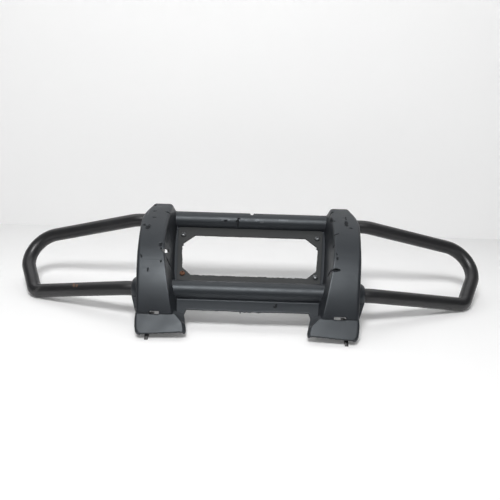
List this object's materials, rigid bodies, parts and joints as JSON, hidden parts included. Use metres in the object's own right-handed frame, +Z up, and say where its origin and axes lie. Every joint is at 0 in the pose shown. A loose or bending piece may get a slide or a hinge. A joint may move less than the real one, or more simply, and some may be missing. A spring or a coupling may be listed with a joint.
{
  "type": "atv front bumper",
  "caption": "Front bumper for an all-terrain vehicle: a racetrack loop of black steel tube with a moulded plastic cover and a grille panel with a hand-cut window.",
  "frame": {"origin": "on the floor, under the middle of the bumper's bounding box, as it lies in the picture", "axes": "+X across the bumper to the right in the picture, -Y towards the camera (front of the vehicle), +Z up from the floor"},
  "size_m": [0.9004, 0.309, 0.1731],
  "materials": {
    "tube_paint": "black paint, worn and scuffed",
    "plate_paint": "black paint",
    "sleeve_steel": "bare steel",
    "cover_plastic": "fine-grained moulded black plastic, scratched",
    "panel_plastic": "faded grey-black plastic sheet",
    "screw_steel": "plated steel, dull",
    "screw_rust": "rusted steel"
  },
  "bodies": {
    "root": {"frame_tube_left": "tube_paint", "frame_tube_right": "tube_paint", "lower_joint_sleeve": "sleeve_steel", "upper_joint_sleeve": "sleeve_steel", "side_plate_left": "plate_paint", "side_plate_right": "plate_paint", "grille_strap_left": "plate_paint", "grille_strap_right": "plate_paint", "grille_panel": "panel_plastic", "cover": "cover_plastic", "grille_screw_upper_left": "screw_steel", "grille_screw_upper_right": "screw_steel", "grille_screw_lower_left": "screw_rust", "grille_screw_lower_right": "screw_steel", "grille_washer_upper_left": "screw_steel", "grille_washer_upper_right": "screw_steel", "grille_washer_lower_left": "screw_steel", "grille_washer_lower_right": "screw_steel", "grille_nut_upper_left": "screw_steel", "grille_nut_upper_right": "screw_steel", "grille_nut_lower_left": "screw_steel", "grille_nut_lower_right": "screw_steel"}
  },
  "joints": []
}
